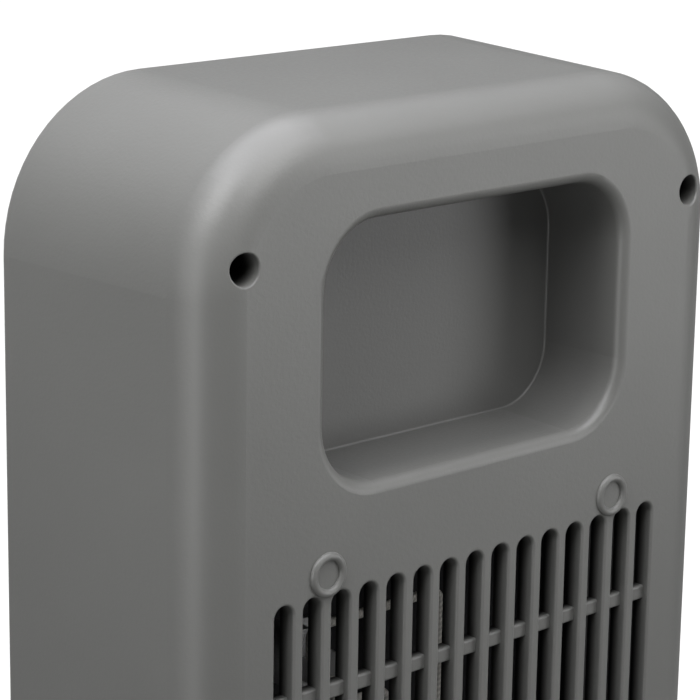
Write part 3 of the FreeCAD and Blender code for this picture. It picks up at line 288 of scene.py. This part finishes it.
def spangled(name, colour, roughness):
    """Galvanised sheet with its crystal spangle."""
    material, tree, shader = new_material(name)
    vector = object_coordinates(tree)
    cells = tree.nodes.new("ShaderNodeTexVoronoi")
    cells.inputs["Scale"].default_value = SPANGLE
    tree.links.new(vector, cells.inputs["Vector"])
    crystals = cells.outputs["Distance"]
    fine = noise(tree, vector, SPANGLE_GRAIN, detail=3.0)
    colours = ramp(tree, crystals, shade(colour, 0.85), shade(colour, 1.12), start=0.1, end=0.9)
    gloss = span(tree, crystals, low=roughness - 0.1, high=roughness + 0.1)
    dress(tree, shader, colours, bump(tree, fine, 0.1, METAL_GRAIN_DEPTH), gloss)
    shader.inputs["Metallic"].default_value = 1.0
    return material


def clear(name, colour, ior, roughness, weight=1.0):
    """Clear glass or lens with faint waviness."""
    material, tree, shader = new_material(name)
    vector = object_coordinates(tree)
    waves = noise(tree, stretched(tree, vector, (1.0, 1.0, 0.15)), GLASS_WAVES)
    cloud = noise(tree, vector, GLASS_CLOUD)
    colours = ramp(tree, cloud, shade(colour, 0.96), colour)
    gloss = span(tree, waves, low=roughness, high=roughness + 0.05)
    dress(tree, shader, colours, bump(tree, waves, strength=0.08, distance=0.0002), gloss)
    shader.inputs["Transmission Weight"].default_value = weight
    shader.inputs["IOR"].default_value = ior
    return material


def woven(name, colour):
    """Carbon-fibre strip: crossed tows with a dull sheen."""
    material, tree, shader = new_material(name)
    vector = object_coordinates(tree)
    warp = wave(tree, vector, "X", CARBON_TOWS, distortion=0.6)
    weft = wave(tree, vector, "Z", CARBON_TOWS, distortion=0.6)
    weave = times(tree, warp, weft)
    colours = ramp(tree, weave, shade(colour, 0.6), shade(colour, 1.8), start=0.1, end=0.9)
    gloss = span(tree, weave, low=0.65, high=0.45)
    dress(tree, shader, colours, bump(tree, weave, strength=0.4, distance=0.0001), gloss)
    return material


def sleeved(name, colour):
    """Braided glass sleeve of the leads."""
    material, tree, shader = new_material(name)
    braid = wave(tree, object_coordinates(tree), "DIAGONAL", SLEEVE_BRAID, distortion=1.5)
    colours = ramp(tree, braid, shade(colour, 0.75), colour, start=0.1, end=0.9)
    dress(tree, shader, colours, bump(tree, braid, strength=0.5, distance=0.0001))
    shader.inputs["Roughness"].default_value = 0.8
    return material


SHELL_GREY = (0.168, 0.169, 0.1615)
FRONT_GREY = (0.115, 0.115, 0.112)
STEEL = (0.55, 0.55, 0.56)
BLACK_PLASTIC = (0.03, 0.03, 0.03)
BLACK_RUBBER = (0.022, 0.022, 0.022)

MATERIALS = {
    # Shell plastic with shade painted into the grille's slots, the hand-hold recess and the screw wells
    "shell_plastic": moulded("shell_plastic_grain_painted_shade", SHELL_GREY, 0.38, grain=1100.0, depth=0.0001,
                             strength=0.4, mottle=0.03, specular=0.5,
                             painted_shades=(SLOT_PAINTED_SHADE, RECESS_PAINTED_SHADE, *WELL_PAINTED_SHADES)),
    "front_plastic": moulded("front_plastic_grain", FRONT_GREY, 0.48),
    "base_plastic": moulded("base_plastic_grain", FRONT_GREY, 0.48),
    "knob_plastic": moulded("knob_plastic_satin", (0.055, 0.055, 0.055), 0.38, grain=3400.0, depth=0.00002),
    "switch_plastic": moulded("switch_plastic_black", BLACK_PLASTIC, 0.45, grain=1800.0),
    "block_plastic": moulded("block_plastic_ivory", (0.76, 0.73, 0.66), 0.4, grain=1600.0, depth=0.00002),
    "plunger_plastic": moulded("plunger_plastic_white", (0.72, 0.71, 0.67), 0.38, grain=1600.0,
                               depth=0.00002),
    "foot_rubber": moulded("foot_rubber_black", BLACK_RUBBER, 0.75, grain=900.0, depth=0.0001, strength=0.5),
    "gland_rubber": moulded("gland_rubber_black", BLACK_RUBBER, 0.7, grain=900.0, depth=0.0001, strength=0.5),
    "ceramic": moulded("ceramic_unglazed", (0.72, 0.69, 0.62), 0.7, grain=1400.0, depth=0.00005,
                       strength=0.4, mottle=0.06, specular=0.3),
    "plate_steel": moulded("plate_powder_coat", (0.035, 0.035, 0.036), 0.5, grain=1100.0, depth=0.00008,
                           strength=0.5),
    "guard_chrome": metal("guard_chrome_plate", (0.72, 0.72, 0.73), 0.14),
    "reflector_sheet": metal("reflector_polished", (0.74, 0.74, 0.75), 0.2, stretch=(1.0, 1.0, 0.02),
                             grain=700.0, strength=0.1, patch=0.03),
    "bracket_steel": metal("bracket_zinc", STEEL, 0.38, stretch=(0.05, 1.0, 1.0)),
    "cutout_metal": metal("cutout_satin", (0.86, 0.86, 0.86), 0.5),
    "screw_steel": metal("screw_zinc", (0.6, 0.6, 0.58), 0.32),
    "shaft_metal": metal("shaft_turned", (0.66, 0.66, 0.67), 0.25, stretch=(1.0, 0.05, 1.0)),
    "brass_nut": metal("nut_brass", (0.72, 0.55, 0.26), 0.25, stretch=(1.0, 0.1, 1.0)),
    # Heat shield behind the grille, coloured near black
    "shield_steel": spangled("shield_near_black_spangle", (0.05, 0.05, 0.052), 0.55),
    "quartz": clear("quartz_clear", (0.97, 0.97, 0.97), ior=1.46, roughness=0.02),
    "lens_red": clear("lens_red_tint", (0.75, 0.05, 0.03), ior=1.49, roughness=0.12, weight=0.6),
    "carbon": woven("carbon_tows", (0.03, 0.03, 0.032)),
    "lead_sleeve": sleeved("lead_braid", (0.68, 0.66, 0.61)),
}
INK = moulded("dial_ink", (0.62, 0.62, 0.6), 0.55, grain=5000.0, depth=0.00001, strength=0.3, mottle=0.04)

for node_name, node in NODES.items():
    if not node.material_slots:
        node.data.materials.append(None)
    for material_slot in node.material_slots:
        material_slot.material = MATERIALS[SLOT_OF[node_name]]


def add_piece(name, mesh, body):
    """Printed piece in ink that rides on a body."""
    piece = add_object(name, mesh)
    mesh.materials.append(INK)
    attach(piece, body)


def capsule_outline(length, width):
    """Outline of a bar with round ends, its length along the second coordinate."""
    points = []
    r = width / 2
    for end, first_turn in ((1, 0.0), (-1, math.pi)):
        for index in range(ROUND_END_STEPS + 1):
            turn = first_turn + math.pi * index / ROUND_END_STEPS
            points.append((r * math.cos(turn), end * (length / 2 - r) + r * math.sin(turn)))
    return points


def print_mark(build, outline, turn, radius, face_y):
    """Add a thin raised plate on a face, its outline turned clockwise about the knob's axis."""
    cosine, sine = math.cos(turn), math.sin(turn)
    flat = []
    for x, along in outline:
        z = along + radius
        flat.append((x * cosine + z * sine, KNOB_AXIS_Z - x * sine + z * cosine))
    back = [build.verts.new((x, face_y, z)) for x, z in flat]
    front = [build.verts.new((x, face_y - INK_HEIGHT, z)) for x, z in flat]
    build.faces.new(front)
    build.faces.new(reversed(back))
    for index in range(len(flat)):
        following = (index + 1) % len(flat)
        build.faces.new((back[index], back[following], front[following], front[index]))


def add_printed(name, build, body):
    bmesh.ops.recalc_face_normals(build, faces=build.faces)
    mesh = bpy.data.meshes.new(name)
    build.to_mesh(mesh)
    build.free()
    add_piece(name, mesh, body)


def dial():
    """A long mark at each setting and short ones between them."""
    build = bmesh.new()
    per_step = DIAL_MINOR + 1
    count = DIAL_STEPS * per_step
    for index in range(count + 1):
        size = LONG_MARK if index % per_step == 0 else SHORT_MARK
        turn = math.radians(DIAL_TURN * index / count)
        print_mark(build, capsule_outline(*size), turn, DIAL_RADIUS, PANEL_Y)
    add_printed("dial_marks", build, "heater")


def digit(text, turn):
    """Upright figure beside its mark."""
    curve = bpy.data.curves.new("digit_" + text, "FONT")
    curve.body = text
    curve.size = DIGIT_SIZE
    curve.align_x = "CENTER"
    curve.align_y = "CENTER"
    curve.extrude = INK_HEIGHT
    holder = add_object("digit_holder", curve)
    bpy.context.view_layer.update()
    mesh = bpy.data.meshes.new_from_object(holder.evaluated_get(bpy.context.evaluated_depsgraph_get()))
    bpy.data.objects.remove(holder)
    x = DIAL_DIGIT_RADIUS * math.sin(turn)
    z = KNOB_AXIS_Z + DIAL_DIGIT_RADIUS * math.cos(turn)
    mesh.transform(Matrix.Translation((x, PANEL_Y, z)) @ Matrix.Rotation(math.pi / 2, 4, "X"))
    mesh.name = "dial_digit_" + text
    mesh.materials.clear()
    add_piece("dial_digit_" + text, mesh, "heater")


def knob_pointer():
    build = bmesh.new()
    print_mark(build, capsule_outline(*POINTER_MARK), 0.0, POINTER_RADIUS, KNOB_GRIP_Y)
    add_printed("knob_pointer", build, "knob")


dial()
for setting in range(DIAL_STEPS + 1):
    digit(str(setting), math.radians(DIAL_TURN * setting / DIAL_STEPS))
knob_pointer()


def floor():
    """Pale paper floor that sends no light to the object; sky() does that evenly in its place."""
    mesh = bpy.data.meshes.new("floor")
    corners = [(x * FLOOR_HALF, y * FLOOR_HALF, 0) for x, y in ((-1, -1), (1, -1), (1, 1), (-1, 1))]
    mesh.from_pydata(corners, [], [range(len(corners))])
    piece = add_object("floor", mesh)
    material, tree, shader = new_material("floor_paper")
    cloud = noise(tree, object_coordinates(tree), PAPER_CLOUD)
    tree.links.new(ramp(tree, cloud, FLOOR_PALE, FLOOR_PALER), shader.inputs["Base Color"])
    shader.inputs["Roughness"].default_value = 0.9
    shader.inputs["Specular IOR Level"].default_value = 0.1
    mesh.materials.append(material)
    piece.visible_diffuse = False
    piece.visible_glossy = False
    return piece


def sky():
    """Light that a pale floor sends up, under a dark room; behind the object the room looks pale."""
    world = bpy.data.worlds.new("studio")
    bpy.context.scene.world = world
    world.use_nodes = True
    tree = world.node_tree
    direction = tree.nodes.new("ShaderNodeTexCoord").outputs["Generated"]
    height = span(tree, split_axes(tree, direction)["Z"], start=-1.0, end=1.0)
    light = ramp(tree, height, SKY_BELOW, SKY_ABOVE, *HORIZON)
    seen = tree.nodes.new("ShaderNodeLightPath").outputs["Is Camera Ray"]
    background = tree.nodes["Background"]
    tree.links.new(blend(tree, seen, light, BACKDROP), background.inputs["Color"])
    background.inputs["Strength"].default_value = 1.0


def light_group(name, piece, state):
    """Collection for lamps that light this piece alone (INCLUDE) or all but this piece (EXCLUDE)."""
    group = bpy.data.collections.new(name)
    group.objects.link(piece)
    group.collection_objects[0].light_linking.link_state = state
    return group


def softbox(lit, name, azimuth, reach, height, width, tall, power):
    """Rectangular lamp that faces the upper part of the heater; azimuth as the camera's."""
    a = math.radians(azimuth)
    light = bpy.data.lights.new(name, "AREA")
    light.shape = "RECTANGLE"
    light.size = width
    light.size_y = tall
    light.energy = power
    if height > ABOVE:
        light.color = ABOVE_TINT
    holder = add_object(name, light)
    holder.location = (math.sin(a) * reach, -math.cos(a) * reach, height)
    holder.rotation_euler = (holder.location - AIM).to_track_quat("Z", "Y").to_euler()
    holder.visible_camera = False
    holder.light_linking.receiver_collection = lit
    return holder


def floor_light(lit):
    """Even light from above for the floor alone, pale to its edges with a soft shadow round the foot."""
    light = bpy.data.lights.new("floor_light", "SUN")
    light.energy = FLOOR_LIGHT
    light.angle = math.radians(FLOOR_LIGHT_SPREAD)
    add_object("floor_light", light).light_linking.receiver_collection = lit


def camera():
    a, e, r = (math.radians(angle) for angle in (CAMERA_AZIMUTH, CAMERA_ELEVATION, CAMERA_ROLL))
    back = Vector((math.sin(a) * math.cos(e), -math.cos(a) * math.cos(e), math.sin(e)))
    level_right = Vector((0, 0, 1)).cross(back).normalized()
    level_up = back.cross(level_right)
    right = math.cos(r) * level_right + math.sin(r) * level_up
    up = -math.sin(r) * level_right + math.cos(r) * level_up
    data = bpy.data.cameras.new("camera")
    data.sensor_width = SENSOR
    data.lens = CAMERA_LENS
    data.clip_start = NEAR_CLIP
    holder = add_object("camera", data)
    turn = Matrix((right, up, back)).transposed().to_4x4()
    holder.matrix_world = Matrix.Translation(CAMERA_PLACE) @ turn
    bpy.context.scene.camera = holder


floor_piece = floor()
floor_light(light_group("floor_only", floor_piece, "INCLUDE"))
all_but_floor = light_group("all_but_floor", floor_piece, "EXCLUDE")
sky()
for box in SOFTBOXES:
    softbox(all_but_floor, *box)
softbox(all_but_floor, *GLOSS_CARD).visible_diffuse = False
softbox(all_but_floor, *FILL_CARD).visible_glossy = False
camera()
bpy.context.scene.view_settings.view_transform = "Standard"
